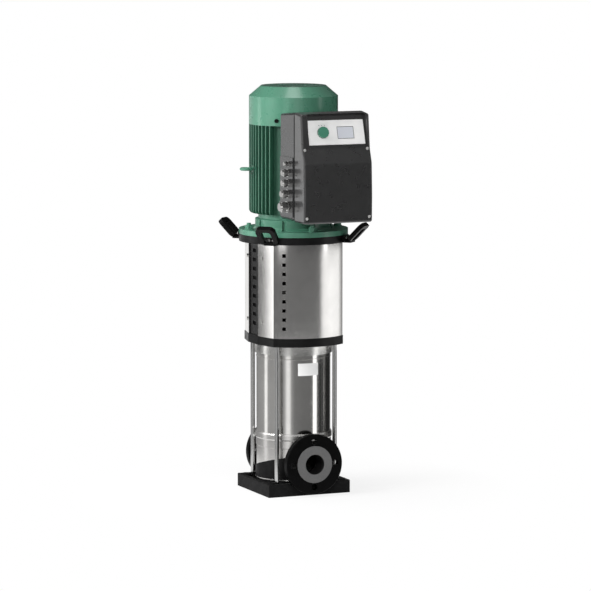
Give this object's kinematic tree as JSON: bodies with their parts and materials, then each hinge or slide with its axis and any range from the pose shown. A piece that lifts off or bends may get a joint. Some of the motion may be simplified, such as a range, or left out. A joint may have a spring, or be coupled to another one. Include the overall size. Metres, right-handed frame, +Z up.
{
  "type": "vertical multistage pump",
  "caption": "Vertical in-line multistage centrifugal pump with flanged ports, coupling guards, a finned flange motor and a drive box with display and knob.",
  "frame": {"origin": "on the pump axis at the underside of the base plate", "axes": "+Z up along the shaft, -Y towards the suction port and the drive box, +X to the right seen from the drive box"},
  "size_m": [0.3354, 0.4756, 1.119],
  "materials": {
    "black_cast": "satin black paint on cast iron",
    "stainless": "satin stainless",
    "stainless_bright": "polished stainless",
    "cast_dark": "black coating",
    "green_paint": "semi-gloss green paint",
    "green_cowl": "semi-gloss green paint on sheet steel",
    "black_plastic": "fine-grained black",
    "grey_body": "black powder coat",
    "white_panel": "smooth white",
    "knob_green": "smooth green",
    "lcd_glass": "clear window over a grey display",
    "rubber": "soft black",
    "zinc_steel": "bright zinc",
    "nickel": "nickel plate",
    "steel": "turned steel",
    "copper": "varnished copper winding",
    "laminated": "stacked sheets",
    "carbon": "carbon seal ring",
    "ceramic": "ground ceramic",
    "board_green": "solder mask",
    "handle_black": "black e-coat"
  },
  "bodies": {
    "pump": {"base_plate": "black_cast", "housing_cradle": "black_cast", "pump_housing": "stainless", "flow_divider": "stainless", "suction_flange": "cast_dark", "discharge_flange": "cast_dark", "pipe_plugs": "zinc_steel", "outer_jacket": "stainless_bright", "jacket_orings": "rubber", "pump_head": "stainless", "tie_rods": "zinc_steel", "tie_rod_nuts": "zinc_steel", "stage_casing_1": "stainless", "stage_casing_2": "stainless", "stage_casing_3": "stainless", "stage_bushes": "carbon", "seal_seat": "ceramic", "lantern_base": "black_cast", "lantern_columns": "black_cast", "lantern_top": "black_cast", "guard_front": "stainless", "guard_back": "stainless", "side_vent_panels": "stainless", "guard_screws": "zinc_steel", "lifting_handles": "handle_black", "handle_bolts": "zinc_steel", "drive_end_shield": "green_paint", "motor_flange_bolts": "green_paint", "motor_frame": "green_paint", "stator_core": "laminated", "stator_windings": "copper", "motor_bearing_outer_rings": "steel", "rear_end_shield": "green_paint", "fan_cowl": "green_cowl", "cowl_screws": "cast_dark", "eye_bolt": "green_paint", "drive_body": "grey_body", "cable_glands": "nickel", "cover_gasket": "rubber", "drive_cover": "black_plastic", "cover_screws": "zinc_steel", "power_board": "board_green", "display_panel": "white_panel", "display_window": "lcd_glass", "encoder_body": "black_plastic"},
    "rotor": {"pump_shaft": "steel", "impeller_1": "stainless", "impeller_2": "stainless", "impeller_3": "stainless", "seal_rotating_ring": "carbon", "coupling_halves": "steel", "coupling_bolts": "zinc_steel", "motor_shaft": "steel", "rotor_core": "laminated", "motor_bearing_inner_rings": "steel", "fan": "black_plastic"},
    "plunger": {"encoder_plunger": "steel"},
    "knob": {"control_knob": "knob_green"}
  },
  "joints": [
    {"name": "rotor_spin", "type": "hinge", "parent": "pump", "child": "rotor", "pos_m": [0, 0, 0.6], "axis": [0, 0, 1], "continuous": true},
    {"name": "knob_press", "type": "slide", "parent": "pump", "child": "plunger", "axis": [0, 0.9563, -0.2924], "range_m": [0, 0.0009], "stiffness_N_per_m": 1500, "springref_m": -0.0005},
    {"name": "knob_turn", "type": "hinge", "parent": "plunger", "child": "knob", "pos_m": [-0.0335, -0.27554, 1.00674], "axis": [0, -0.9563, 0.2924], "continuous": true}
  ]
}
